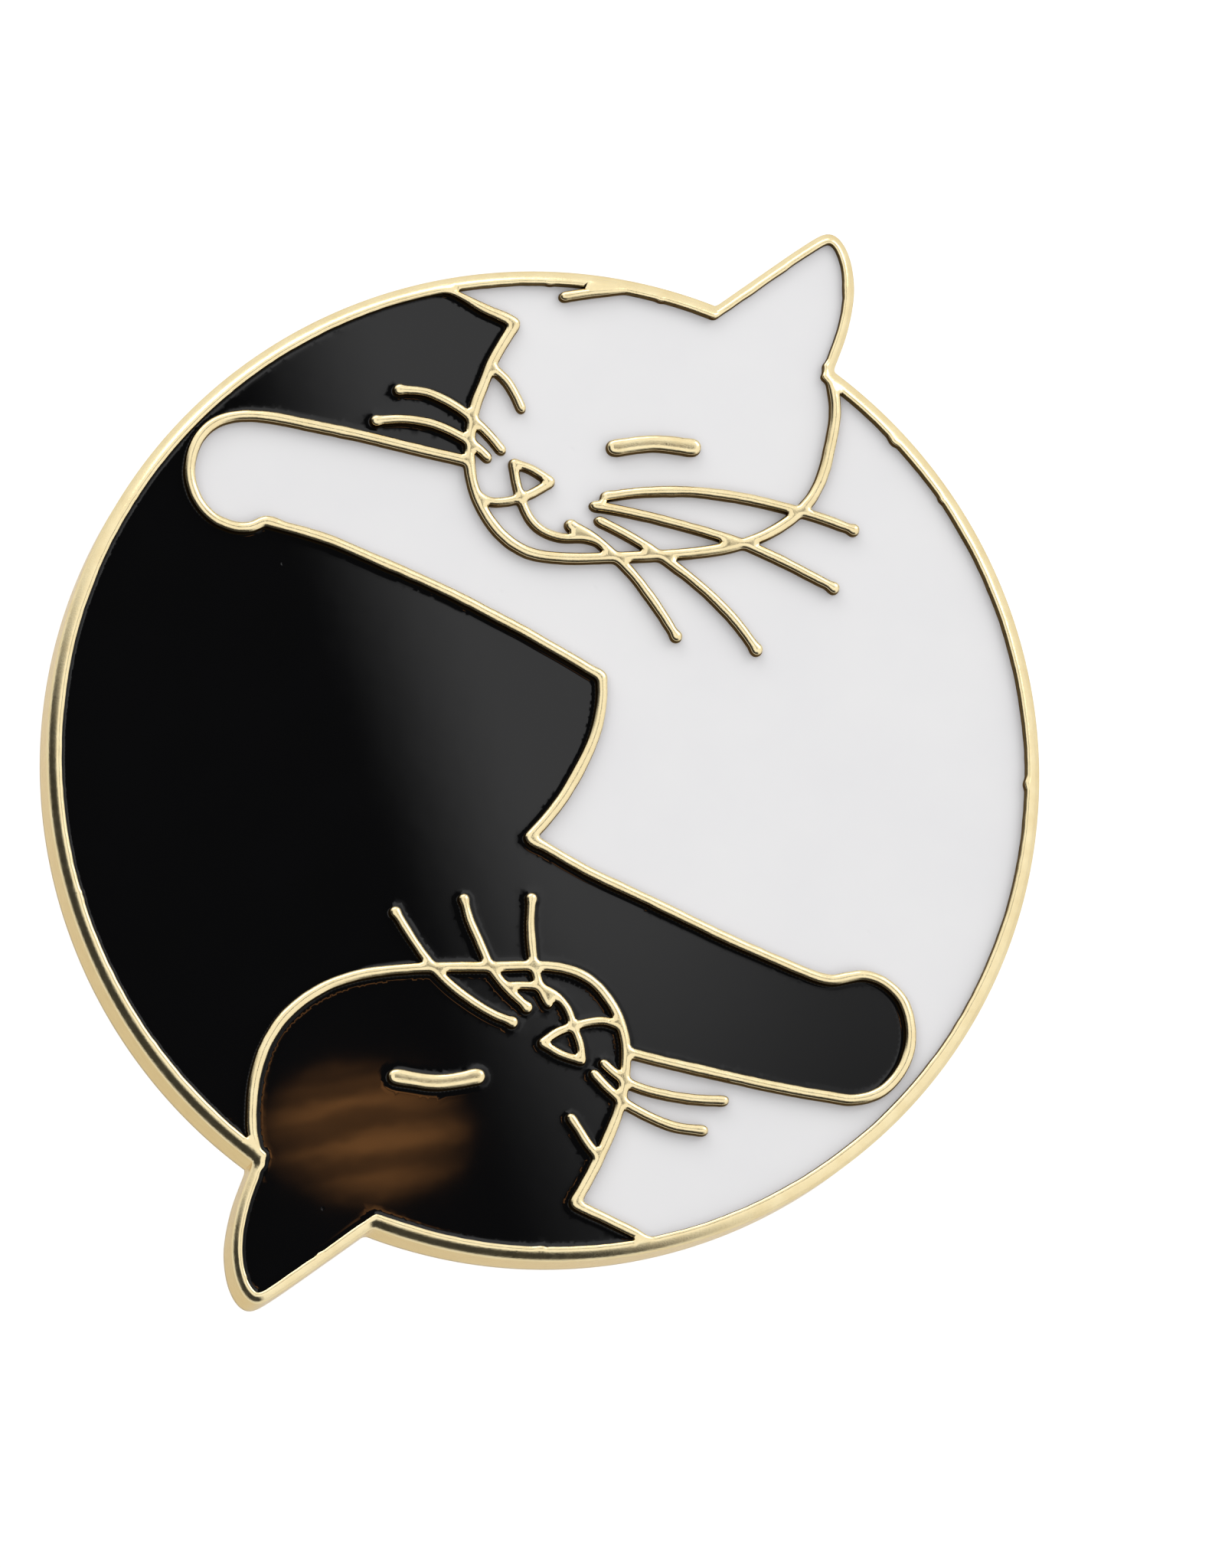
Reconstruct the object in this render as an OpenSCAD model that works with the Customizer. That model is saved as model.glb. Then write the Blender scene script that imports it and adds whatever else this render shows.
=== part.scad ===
// Soft-enamel lapel pin: two curled-up cats, one white and one black, lying head to tail
// in a disc.  It lies face up on its two butterfly clutches.  Millimetres, +Z is the face.
// Origin: under the centre of the disc, on the surface that the clutches rest on.

/* [Plate] */
// Diameter of the disc, without the two ears
disc_d = 30; // [29.8:0.1:30.4]
// Thickness of the struck metal plate, back face to top of the lines
plate_t = 2.5; // [1.8:0.1:3]
// Width of the raised rim round the disc
rim_w = 0.42; // [0.36:0.02:0.5]
// Width of the raised rim round the ears
ear_rim_w = 0.3; // [0.26:0.02:0.36]

/* [Raised lines] */
// Width of the outline of heads, arms and bodies
outline_w = 0.3; // [0.24:0.01:0.34]
// Width of whiskers and brows
whisker_w = 0.27; // [0.24:0.01:0.3]
// Width of the lines of the nose and the mouth
mouth_w = 0.24; // [0.2:0.01:0.26]
// Width of the closed eyes
eye_w = 0.46; // [0.36:0.02:0.5]
// Radius of the blob that ends each whisker
blob_r = 0.18; // [0.14:0.01:0.2]
// Least width of the channel of enamel between a paw and the rim
paw_gap = 0.15; // [0.13:0.01:0.18]

/* [Enamel] */
// Depth from the top of the lines down to the enamel
recess = 0.35; // [0.2:0.05:0.5]
// Thickness of the enamel in its pockets
enamel_t = 0.55; // [0.3:0.05:0.8]

/* [Posts] */
// Distance between the two posts
post_pitch = 15; // [14:0.5:16]
// Diameter of a post
post_d = 1.1; // [1:0.02:1.12]
// Length of a post below the back of the plate
post_len = 8; // [8:0.5:9]
// Diameter of the two gripping grooves
groove_d = 0.8; // [0.7:0.05:0.9]
// Diameter of the soldered head of a post
post_head_d = 2.4; // [2:0.1:3]

/* [Clutches] */
// Gap for cloth between the plate and a clutch
cloth_gap = 5; // [5:0.1:5.4]
// Diameter of a clutch dish
dish_d = 11.4; // [11:0.1:11.8]
// Height of a clutch, from its dish face to the ends of its wings
clutch_h = 6.3; // [6:0.1:6.6]
// Thickness of a wing
wing_t = 0.4; // [0.35:0.05:0.45]
// Width of a wing across its ear
wing_w = 6; // [5.6:0.1:6.4]

/* [Hidden] */

gold = [0.88, 0.78, 0.55];
white = [0.93, 0.93, 0.93];
black = [0.06, 0.06, 0.07];
steel = [0.72, 0.72, 0.74];

disc_r = disc_d / 2;
clutch_z = clutch_h;                  // height of a dish face
back_z = clutch_z + cloth_gap;        // height of the plate's back
face_z = back_z + plate_t;            // height of the tops of the lines
enamel_z = face_z - recess;           // height of the enamel's surface
floor_z = enamel_z - enamel_t;        // height of the pocket floors
sliver = 0.06;                        // half the width of the narrowest pocket
eps = 0.01;

// ---- Line work of the face.  Points are [x, y] from the centre of the disc. ----

// Outer edge of the white cat's ear; the black cat's is the same, turned half round
ear_edge = [
    [5.5, 13.96], [6.9, 14.93], [8.3, 15.88], [8.95, 16.2], [9.35, 16], [9.62, 15.45],
    [9.73, 14.7], [9.68, 14], [9.45, 13.05], [9.03, 11.98]
];
// The same edge carried on into the disc at both ends
ear_root_in = [3.86, 12.82];
ear_root_out = [8.3, 10.1];

// White cat: forehead, and the outline of the head from its crown round the chin to the ear
w_forehead = [[-3.2, 14.55], [-0.66, 13.38]];
w_head = [
    [-0.66, 13.38], [-1.3, 12.33], [-1.66, 11.5], [-1.94, 10.8], [-2.08, 10], [-2.12, 9.17],
    [-2.02, 8.4], [-1.78, 7.75], [-1.35, 7.1], [-0.8, 6.6], [-0.1, 6.31], [1, 6.22],
    [2.25, 6.25], [3.7, 6.32], [5.1, 6.46], [6.3, 6.74], [7.3, 7.22], [8.1, 7.88],
    [8.57, 8.67], [8.87, 9.7], [9.04, 10.7], [8.98, 11.5], [8.85, 12.1]
];
W_ARM = 5;       // point of w_head where the arm meets it
W_CHIN_IN = 7;   // where the mouth meets it
W_CHIN_OUT = 12; // where the last whisker crosses it
w_brow = [[-1.35, 12], [-0.95, 11.62], [-0.68, 11.15], [-0.52, 10.78]];
w_eye = [[2.28, 9.6], [3.5, 9.73], [4.68, 9.6]];
w_nose_bridge = [[-0.8, 9.12], [-0.25, 8.92], [0.32, 8.54]];
w_mouth_side = [[0.32, 8.54], [-0.1, 8.28], [-0.6, 8.05], [-1.2, 7.93], [-1.6, 7.96], [-1.93, 8.16]];
w_mouth_low = [
    [-0.8, 9.12], [-0.73, 8.6], [-0.58, 8], [-0.35, 7.45], [0.05, 7.05], [0.6, 6.85],
    [1.25, 6.84], [1.68, 6.74]
];
w_whiskers = [
    [[-4.2, 11.33], [-3.4, 11.25], [-2.6, 10.88], [-2, 10.43], [-1.5, 9.93], [-1.15, 9.5]],
    [[-4.92, 10.38], [-4.1, 10.43], [-3.2, 10.28], [-2.4, 9.92], [-1.9, 9.58], [-1.58, 9.27]],
    [[1.97, 8.1], [3, 8.24], [4.4, 8.27], [5.8, 8.13], [7.1, 7.85], [8.4, 7.5], [9.5, 7.1]],
    [[1.62, 7.82], [2.6, 7.64], [4, 7.31], [5.2, 6.97], [6.4, 6.56], [7.6, 6], [8.85, 5.33]],
    [[1.76, 7.36], [2.5, 6.98], [3.3, 6.5], [4.1, 5.93], [5, 5.18], [5.8, 4.35], [6.45, 3.45]]
];
w_last_whisker = [[0.9, 7.22], [1.45, 6.93], [2, 6.48], [2.7, 5.78], [3.4, 4.85], [4.03, 3.85]];
W_CHEEK_IN = 15;  // where the fourth whisker crosses the outline
W_CHEEK_OUT = 17; // where the third one does
// Small spur under the rim beside the ear
w_spur = [[0.84, 14.2], [1.4, 14.29], [2.2, 14.4], [3.1, 14.5]];

// White arm: over the arm and round the paw, then back under it to the elbow corner
w_paw = [
    [-2.1, 9.15], [-3.6, 9.5], [-5.4, 9.93], [-7.2, 10.31], [-8.2, 10.5], [-9.1, 10.52],
    [-9.85, 10.28], [-10.36, 9.72], [-10.58, 8.9], [-10.43, 8.1], [-10, 7.5], [-9.4, 7.19],
    [-8.85, 7.13], [-8.36, 7.32]
];
w_elbow = [[-8.36, 7.32], [-6.5, 6.77], [-4.8, 6.05], [-3, 5.24], [-1, 4.2], [0.5, 3.35], [1.74, 2.6]];

// Line between the two bodies, from the white elbow to the black one
bodies = [[1.74, 2.6], [1.7, 1.8], [1.5, 0.9], [1.1, 0], [0.5, -1], [-0.1, -1.76], [-0.56, -2.26]];

// Black arm: over the arm, round the paw and back under it to the head
b_paw = [
    [-0.56, -2.26], [1.1, -3.25], [2.8, -4.07], [5.1, -5.2], [7.2, -6.15], [8, -6.47],
    [8.5, -6.58], [9, -6.5], [9.5, -6.45], [10.1, -6.68], [10.6, -7.2], [10.83, -7.95],
    [10.77, -8.75], [10.42, -9.45], [9.85, -9.97], [9.1, -10.18], [8.3, -10.09], [7, -9.85],
    [5.4, -9.5], [3.8, -9.13], [2.2, -8.72]
];

// Black cat, like the white one
b_forehead = [[3.1, -14.55], [0.56, -13.28]];
b_head = [
    [0.56, -13.28], [1.2, -12.15], [1.6, -11.3], [1.9, -10.6], [2.1, -9.8], [2.2, -8.72],
    [2.1, -8], [1.85, -7.38], [1.45, -6.82], [0.95, -6.42], [0.3, -6.2], [-0.52, -6.13],
    [-1.85, -6.16], [-3.6, -6.17], [-5.1, -6.28], [-6.3, -6.53], [-7.25, -6.98],
    [-8.05, -7.65], [-8.6, -8.45], [-8.93, -9.4], [-9.07, -10.4], [-9.05, -11.2], [-8.85, -12.05]
];
B_ARM = 5;
B_CHIN_IN = 6;
B_LIP_IN = 11;   // where the third whisker crosses the outline
B_LIP_OUT = 12;  // where the second one does
b_brow = [[1.33, -11.92], [1, -11.5], [0.72, -11.05], [0.5, -10.7]];
b_eye = [[-4.75, -9.45], [-3.5, -9.62], [-2.28, -9.45]];
b_nose_bridge = [[0.87, -9], [0.25, -8.8], [-0.32, -8.45]];
b_mouth_side = [[-0.32, -8.45], [0.1, -8.15], [0.62, -7.95], [1.15, -7.82], [1.6, -7.8], [2.02, -7.95]];
b_mouth_low = [
    [0.87, -9], [0.82, -8.5], [0.64, -7.98], [0.48, -7.45], [0.15, -7.05], [-0.33, -6.78],
    [-0.9, -6.72], [-1.38, -6.74]
];
b_first_whisker = [
    [-4.65, -4.5], [-4.2, -5.25], [-3.7, -5.98], [-3.2, -6.55], [-2.5, -7.13], [-1.8, -7.57],
    [-1.2, -7.82]
];
b_lip_whiskers = [
    [[-2.58, -4.12], [-2.42, -4.75], [-2.15, -5.4], [-1.85, -6.12], [-1.4, -6.74], [-0.75, -7.38]],
    [[-0.54, -4.1], [-0.6, -4.9], [-0.57, -5.6], [-0.5, -6.2], [-0.33, -6.8], [-0.1, -7.28]]
];
b_cheek_whiskers = [
    [[1.52, -9.07], [1.9, -9.42], [2.4, -9.73], [3.2, -9.98], [4.2, -10.15], [5.15, -10.2]],
    [[1.22, -9.38], [1.6, -9.8], [2.05, -10.2], [2.75, -10.62], [3.6, -10.97], [4.5, -11.1]]
];

// Free ends of whiskers that are swollen into a blob
blobs = [
    w_whiskers[0][0], w_whiskers[1][0], w_whiskers[2][6], w_whiskers[3][6], w_whiskers[4][6],
    w_last_whisker[0], w_last_whisker[5], b_first_whisker[0], b_first_whisker[6],
    b_lip_whiskers[0][0], b_lip_whiskers[0][5], b_lip_whiskers[1][0]
];

// Corners well outside the pin, which close the regions of the cells beyond the rim
far_ear = [[10.5, 12.8], [11, 18], [4, 18], [-3.6, 16.4]];
far_right = [[4, -17.5], [16.5, -16.5], [20, 0], [16, 16], [9.2, 12.3]];

// ---- Functions ----

STEPS = 3; // steps of a smooth curve from one of its points to the next

function part_of(list, from, to) =
    from <= to ? [for (i = [from:to]) list[i]] : [for (i = [from:-1:to]) list[i]];
function turned(list) = [for (p = list) -p];
function reversed(list) = part_of(list, len(list) - 1, 0);

// Smooth curve through the points p, with n steps from each point to the next
function at_end(p, i) =
    i < 0 ? 2 * p[0] - p[1] : i >= len(p) ? 2 * p[len(p) - 1] - p[len(p) - 2] : p[i];
function blend_at(a, b, c, d, t) =
    (2 * b + (c - a) * t + (2 * a - 5 * b + 4 * c - d) * t ^ 2 + (3 * b - a - 3 * c + d) * t ^ 3) / 2;
function smooth(p, n = STEPS) = [
    for (i = [0:len(p) - 2], k = [0:n - 1])
        blend_at(at_end(p, i - 1), p[i], p[i + 1], at_end(p, i + 2), k / n),
    p[len(p) - 1]
];

// Unit normal of a path at its point i
function normal_at(p, i) =
    let (d = p[min(i + 1, len(p) - 1)] - p[max(i - 1, 0)]) [-d[1], d[0]] / norm(d);
function ribbon(p, w) = concat(
    [for (i = [0:len(p) - 1]) p[i] + normal_at(p, i) * w / 2],
    [for (i = [len(p) - 1:-1:0]) p[i] - normal_at(p, i) * w / 2]
);

// ---- Flat shapes of the face ----

// A raised line of width w with round ends
module stroke(points, w) {
    path = smooth(points);
    polygon(ribbon(path, w));
    for (end = [path[0], path[len(path) - 1]])
        translate(end) circle(w / 2, $fn = 16);
}

module ear() {
    polygon(concat([ear_root_in], smooth(ear_edge), [ear_root_out]));
}

module inside_rim() {
    circle(disc_r - rim_w, $fn = 120);
    for (a = [0, 180])
        rotate(a) offset(delta = -ear_rim_w) ear();
}

module lines() {
    for (path = [w_forehead, w_head, w_elbow, bodies, b_forehead, b_head])
        stroke(path, outline_w);
    // The enamel runs on between the paws and the rim
    for (path = [w_paw, b_paw])
        intersection() {
            stroke(path, outline_w);
            circle(disc_r - rim_w - paw_gap, $fn = 120);
        }
    for (path = concat(w_whiskers, [w_last_whisker, b_first_whisker], b_lip_whiskers, b_cheek_whiskers))
        stroke(path, whisker_w);
    for (tip = blobs)
        translate(tip) circle(blob_r, $fn = 16);
    for (path = [w_brow, w_spur, b_brow])
        stroke(path, whisker_w);
    for (path = [w_nose_bridge, w_mouth_side, w_mouth_low, b_nose_bridge, b_mouth_side, b_mouth_low])
        stroke(path, mouth_w);
    for (path = [w_eye, b_eye])
        stroke(path, eye_w);
}

// The open space between the raised lines inside a region, without its slivers
module cell(region) {
    offset(delta = sliver) offset(delta = -sliver) difference() {
        intersection() {
            inside_rim();
            polygon(region);
        }
        lines();
    }
}

// ---- Regions: each runs along the middle of the lines that bound its cell ----

w_nose_region = concat(w_nose_bridge, part_of(w_mouth_side, 1, 2), part_of(w_mouth_low, 1, 1));
w_chin_region = concat(
    part_of(w_mouth_side, 2, 5), part_of(smooth(w_head), STEPS * W_CHIN_IN, STEPS * W_CHIN_OUT),
    part_of(w_last_whisker, 2, 2), part_of(w_mouth_low, 6, 3)
);
w_cheek_region = concat(
    w_whiskers[2], part_of(smooth(w_head), STEPS * W_CHEEK_OUT, STEPS * W_CHEEK_IN),
    part_of(w_whiskers[3], 4, 0)
);
w_head_region = concat(smooth(w_head), far_ear, [w_forehead[0]]);
w_body_region = concat(
    smooth(w_paw), smooth(w_elbow), smooth(bodies), smooth(b_paw),
    part_of(smooth(b_head), STEPS * B_ARM, 0), [b_forehead[0]],
    far_right, part_of(smooth(w_head), STEPS * (len(w_head) - 1), STEPS * W_ARM)
);

b_nose_region = concat(b_nose_bridge, part_of(b_mouth_side, 1, 2), part_of(b_mouth_low, 1, 1));
b_lip_region = concat(
    part_of(b_head, B_LIP_IN, B_LIP_OUT), part_of(b_lip_whiskers[0], 4, 4),
    part_of(b_mouth_low, 6, 5), part_of(b_lip_whiskers[1], 4, 4)
);
b_chin_region = concat(
    part_of(b_mouth_side, 2, 5), part_of(smooth(b_head), STEPS * B_CHIN_IN, STEPS * B_LIP_IN),
    part_of(b_lip_whiskers[1], 4, 4), part_of(b_mouth_low, 5, 3)
);
b_head_region = concat(smooth(b_head), turned(far_ear), [b_forehead[0]]);
b_body_region = concat(
    smooth(w_paw), smooth(w_elbow), smooth(bodies), smooth(b_paw),
    part_of(smooth(b_head), STEPS * B_ARM, STEPS * (len(b_head) - 1)), turned(reversed(far_right)),
    w_forehead, part_of(smooth(w_head), 0, STEPS * W_ARM)
);

module face_cell(name) {
    if (name == "white_head") difference() {
        cell(w_head_region);
        polygon(w_nose_region);
        polygon(w_cheek_region);
        polygon(w_chin_region);
    }
    if (name == "white_body") cell(w_body_region);
    if (name == "white_cheek") cell(w_cheek_region);
    if (name == "white_chin") cell(w_chin_region);
    if (name == "white_nose") cell(w_nose_region);
    if (name == "black_head") difference() {
        cell(b_head_region);
        polygon(b_nose_region);
        polygon(b_lip_region);
        polygon(b_chin_region);
    }
    if (name == "black_body") cell(b_body_region);
    if (name == "black_chin") cell(b_chin_region);
    if (name == "black_lip") cell(b_lip_region);
    if (name == "black_nose") cell(b_nose_region);
}

// ---- Plate and enamel ----

module blank() {
    translate([0, 0, back_z]) {
        cylinder(r = disc_r, h = plate_t, $fn = 180);
        for (a = [0, 180])
            rotate(a) linear_extrude(plate_t) ear();
    }
}

module metal_plate() {
    color(gold) difference() {
        blank();
        for (name = [
            "white_head", "white_body", "white_cheek", "white_chin", "white_nose",
            "black_head", "black_body", "black_chin", "black_lip", "black_nose"
        ])
            translate([0, 0, floor_z]) linear_extrude(recess + enamel_t + 1) face_cell(name);
    }
}

module enamel(name, colour) {
    color(colour) translate([0, 0, floor_z]) linear_extrude(enamel_t) face_cell(name);
}

// ---- Posts ----

solder_h = 0.5;      // height of the fillet that fixes a post
head_t = 0.35;       // thickness of a post's flat head
groove_r = 0.35;     // radius of the round section of a groove
low_groove = 1.45;   // depth of the middle of the low groove below the dish face
high_groove = 4.35;  // depth of the middle of the high groove below the plate
tip_h = 1.1;         // height of the pointed end
tip_d = 0.2;         // diameter of the blunted point

function side_x(side) = side * post_pitch / 2;

module post(side) {
    color(gold) translate([side_x(side), 0, back_z]) difference() {
        union() {
            translate([0, 0, -head_t]) cylinder(d = post_head_d, h = head_t, $fn = 48);
            translate([0, 0, tip_h - post_len]) cylinder(d = post_d, h = post_len - tip_h, $fn = 48);
            translate([0, 0, -post_len]) cylinder(d1 = tip_d, d2 = post_d, h = tip_h, $fn = 48);
        }
        for (depth = [high_groove, cloth_gap + low_groove])
            translate([0, 0, -depth]) rotate_extrude($fn = 48)
                translate([groove_d / 2 + groove_r, 0]) circle(groove_r, $fn = 32);
    }
}

// Ring of solder round the head of a post
module solder(side) {
    head_r = post_head_d / 2;
    color(steel) translate([side_x(side), 0, back_z]) rotate_extrude($fn = 48)
        polygon([
            [head_r, 0], [head_r + 0.55, 0], [head_r + 0.22, -0.08], [head_r + 0.05, -0.22],
            [head_r, -head_t + 0.02]
        ]);
}

// ---- Clutches: heights are measured down from the face of the dish ----

sheet_t = 0.35;          // thickness of the dish's sheet
dish_h = 1.15;           // height of the dish over its curled rim
lip_in_r = 4.4;          // inner radius of the curled rim
dish_hole_d = post_d + 0.14;
insert_r = dish_d / 2 - 0.6;
insert_top = sheet_t + 0.05;
insert_t = 0.4;
insert_hole_r = 0.8;
pivot_y = 1.9;           // distance of a wing's pivot from the post's axis
pivot_h = 2.3;           // depth of the pivot
pivot_d = 0.6;
pivot_hole_d = 0.66;
barrel_r = 0.45;         // radius of a wing's rolled edge
barrel_w = 4.8;          // width of the rolled edge
lug_in = barrel_w / 2 + 0.1;
lug_t = 0.35;
lug_r = 0.62;
jaw_top = 1.3;           // depth of the top of a jaw
jaw_t = 0.3;
jaw_w = 2;
jaw_hole_d = post_d + 0.06;
jaw_gap = 0.12;          // gap between the two closed jaws
leaf_t = 0.15;
leaf_w = 2.2;
leaf_half = 1.5;         // half the length of the leaf spring
leaf_r = 4.1;            // radius that the leaf is bowed to

module at_clutch(side) {
    translate([side_x(side), 0, clutch_z]) children();
}

module dish(side) {
    r = dish_d / 2;
    color(gold) at_clutch(side) rotate_extrude($fn = 96)
        polygon([
            [dish_hole_d / 2, 0], [r - 0.3, 0], [r - 0.09, -0.09], [r, -0.3], [r, -dish_h + 0.3],
            [r - 0.09, -dish_h + 0.09], [r - 0.3, -dish_h], [lip_in_r + 0.1, -dish_h],
            [lip_in_r, -dish_h + 0.1], [lip_in_r, -dish_h + 0.3], [r - sheet_t, -dish_h + 0.3],
            [r - sheet_t, -sheet_t], [dish_hole_d / 2, -sheet_t]
        ]);
}

// Round plate held in the dish by its curled rim, with two lugs for the wings' pivots
module insert(side) {
    color(steel) at_clutch(side) difference() {
        union() {
            translate([0, 0, -insert_top - insert_t]) cylinder(r = insert_r, h = insert_t, $fn = 96);
            for (x = [-lug_in - lug_t, lug_in])
                translate([x, 0, 0]) lug();
        }
        translate([0, 0, -insert_top - insert_t - eps])
            cylinder(r = insert_hole_r, h = insert_t + 2 * eps, $fn = 48);
        for (y = [-pivot_y, pivot_y])
            translate([-insert_r, y, -pivot_h]) rotate([0, 90, 0])
                cylinder(d = pivot_hole_d, h = 2 * insert_r, $fn = 32);
    }
}

module lug() {
    foot_y = pivot_y + lug_r + 0.3;
    knee_y = pivot_y + lug_r;
    top = -insert_top - insert_t / 2;
    rotate([90, 0, 90]) linear_extrude(lug_t) union() {
        polygon([
            [-foot_y, top], [foot_y, top], [knee_y, -pivot_h], [pivot_y, -pivot_h - lug_r],
            [-pivot_y, -pivot_h - lug_r], [-knee_y, -pivot_h]
        ]);
        for (y = [-pivot_y, pivot_y])
            translate([y, -pivot_h]) circle(lug_r, $fn = 32);
    }
}

// Bowed leaf between the insert and the jaws, which it presses shut
module spring(side) {
    top = -insert_top - insert_t - 0.02;
    color("silver") at_clutch(side) difference() {
        rotate([90, 0, 90]) translate([0, 0, -leaf_w / 2]) linear_extrude(leaf_w) intersection() {
            translate([0, top - leaf_r]) difference() {
                circle(leaf_r, $fn = 120);
                circle(leaf_r - leaf_t, $fn = 120);
            }
            translate([-leaf_half, top - 1]) square([2 * leaf_half, 2]);
        }
        translate([0, 0, -2]) cylinder(r = insert_hole_r, h = 2, $fn = 48);
    }
}

// A wing: the ear that is pinched, the rolled edge that it turns on, and the jaw
ear_path = [[1.95, -2.35], [2.3, -3.2], [2.85, -4.3], [3.1, -5.3], [3.45, -6], [4.1, -6.75]];

module wing(side, turn) {
    color(gold) at_clutch(side) rotate([0, 0, turn]) {
        translate([0, pivot_y, -pivot_h]) rotate([0, 90, 0]) {
            translate([0, 0, -barrel_w / 2]) cylinder(r = barrel_r, h = barrel_w, $fn = 32);
            translate([0, 0, -lug_in - lug_t]) cylinder(d = pivot_d, h = 2 * (lug_in + lug_t), $fn = 32);
        }
        intersection() {
            rotate([90, 0, 90]) translate([0, 0, -wing_w]) linear_extrude(2 * wing_w)
                polygon(ribbon(smooth(ear_path), wing_t));
            rotate([90, 0, 0]) translate([0, 0, -clutch_h]) linear_extrude(2 * clutch_h) ear_shape();
        }
        jaw();
    }
}

// Front view of a wing: a neck between the lugs, then the rounded ear
module ear_shape() {
    round_r = 1.2;
    neck = barrel_w / 2 - 0.1;
    shoulder = pivot_h + lug_r + 0.25;
    translate([-neck, -shoulder - 1]) square([2 * neck, shoulder + 1 - pivot_h]);
    for (x = [-1, 1]) {
        translate([x * (wing_w / 2 - round_r), -clutch_h + round_r]) circle(round_r, $fn = 40);
        translate([x * (wing_w / 2 - round_r / 2), -shoulder - round_r / 2]) circle(round_r / 2, $fn = 32);
    }
    translate([-wing_w / 2 + round_r, -clutch_h]) square([wing_w - 2 * round_r, clutch_h - shoulder]);
    translate([-wing_w / 2, -clutch_h + round_r])
        square([wing_w, clutch_h - shoulder - round_r - round_r / 2]);
}

module jaw() {
    difference() {
        union() {
            translate([-jaw_w / 2, jaw_gap / 2, -jaw_top - jaw_t])
                cube([jaw_w, pivot_y - jaw_gap / 2, jaw_t]);
            translate([-jaw_w / 2, pivot_y - 0.2, -pivot_h]) cube([jaw_w, 0.4, pivot_h - jaw_top]);
        }
        translate([0, 0, -jaw_top - jaw_t - eps]) cylinder(d = jaw_hole_d, h = jaw_t + 2 * eps, $fn = 48);
    }
}

metal_plate();
enamel("white_head", white);  // white_head_enamel
enamel("white_body", white);  // white_body_enamel
enamel("white_cheek", white);  // white_cheek_enamel
enamel("white_chin", white);  // white_chin_enamel
enamel("white_nose", white);  // white_nose_enamel
enamel("black_head", black);  // black_head_enamel
enamel("black_body", black);  // black_body_enamel
enamel("black_chin", black);  // black_chin_enamel
enamel("black_lip", black);  // black_lip_enamel
enamel("black_nose", black);  // black_nose_enamel
post(-1);  // left_post
post(1);  // right_post
solder(-1);  // left_solder
solder(1);  // right_solder
dish(-1);  // left_dish
insert(-1);  // left_insert
spring(-1);  // left_spring
wing(-1, 0);  // left_wing_a
wing(-1, 180);  // left_wing_b
dish(1);  // right_dish
insert(1);  // right_insert
spring(1);  // right_spring
wing(1, 0);  // right_wing_a
wing(1, 180);  // right_wing_b
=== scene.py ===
"""Looks of the enamel pin: a struck plate with raised lines, enamel in its cells, posts and clutches.

Lengths inside this script are in millimetres until a mesh is made, and the frame is the CAD's own:
+Z out of the face, the clutches' wings standing on z = 0.
"""
import math

import bmesh
import bpy
import numpy as np
from mathutils import Matrix, Vector, noise
from mathutils.geometry import delaunay_2d_cdt
from mathutils.kdtree import KDTree


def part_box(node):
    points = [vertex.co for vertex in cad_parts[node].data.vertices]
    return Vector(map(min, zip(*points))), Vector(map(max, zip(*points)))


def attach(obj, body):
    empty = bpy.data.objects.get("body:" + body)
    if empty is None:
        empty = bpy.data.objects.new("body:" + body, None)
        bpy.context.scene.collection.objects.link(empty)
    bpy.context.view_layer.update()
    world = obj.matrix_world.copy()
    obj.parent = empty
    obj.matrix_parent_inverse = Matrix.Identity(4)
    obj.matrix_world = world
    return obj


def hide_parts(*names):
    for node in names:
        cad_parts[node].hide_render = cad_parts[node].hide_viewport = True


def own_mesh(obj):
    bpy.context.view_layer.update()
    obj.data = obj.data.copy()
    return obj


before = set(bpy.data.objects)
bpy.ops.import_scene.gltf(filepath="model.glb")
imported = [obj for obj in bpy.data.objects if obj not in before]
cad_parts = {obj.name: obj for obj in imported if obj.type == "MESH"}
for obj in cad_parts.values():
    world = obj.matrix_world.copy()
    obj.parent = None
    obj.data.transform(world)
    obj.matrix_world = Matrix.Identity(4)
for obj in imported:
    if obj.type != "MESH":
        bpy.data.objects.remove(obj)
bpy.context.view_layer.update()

MM = 0.001
SIDES = {"left": -1, "right": 1}


def corners(node):
    """Lowest and highest corner of a CAD node, in mm."""
    low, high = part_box(node)
    return np.array(low) / MM, np.array(high) / MM


# ---- Heights and sizes, read from the frame ----
plate_low, plate_high = corners("metal_plate")
BACK_Z, FACE_Z = float(plate_low[2]), float(plate_high[2])
FLOOR_Z, ENAMEL_Z = (float(c[2]) for c in corners("white_body_enamel"))
DISC_R = float(plate_high[0])
DISH_Z = float(corners("left_dish")[1][2])
POST_X = float((corners("right_post")[0][0] + corners("right_post")[1][0]) / 2)
CELLS = [n for n in sorted(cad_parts) if n.endswith("_enamel")]
FACE_GAP = 0.005       # keeps the faces of two pieces from lying in one plane

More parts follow.
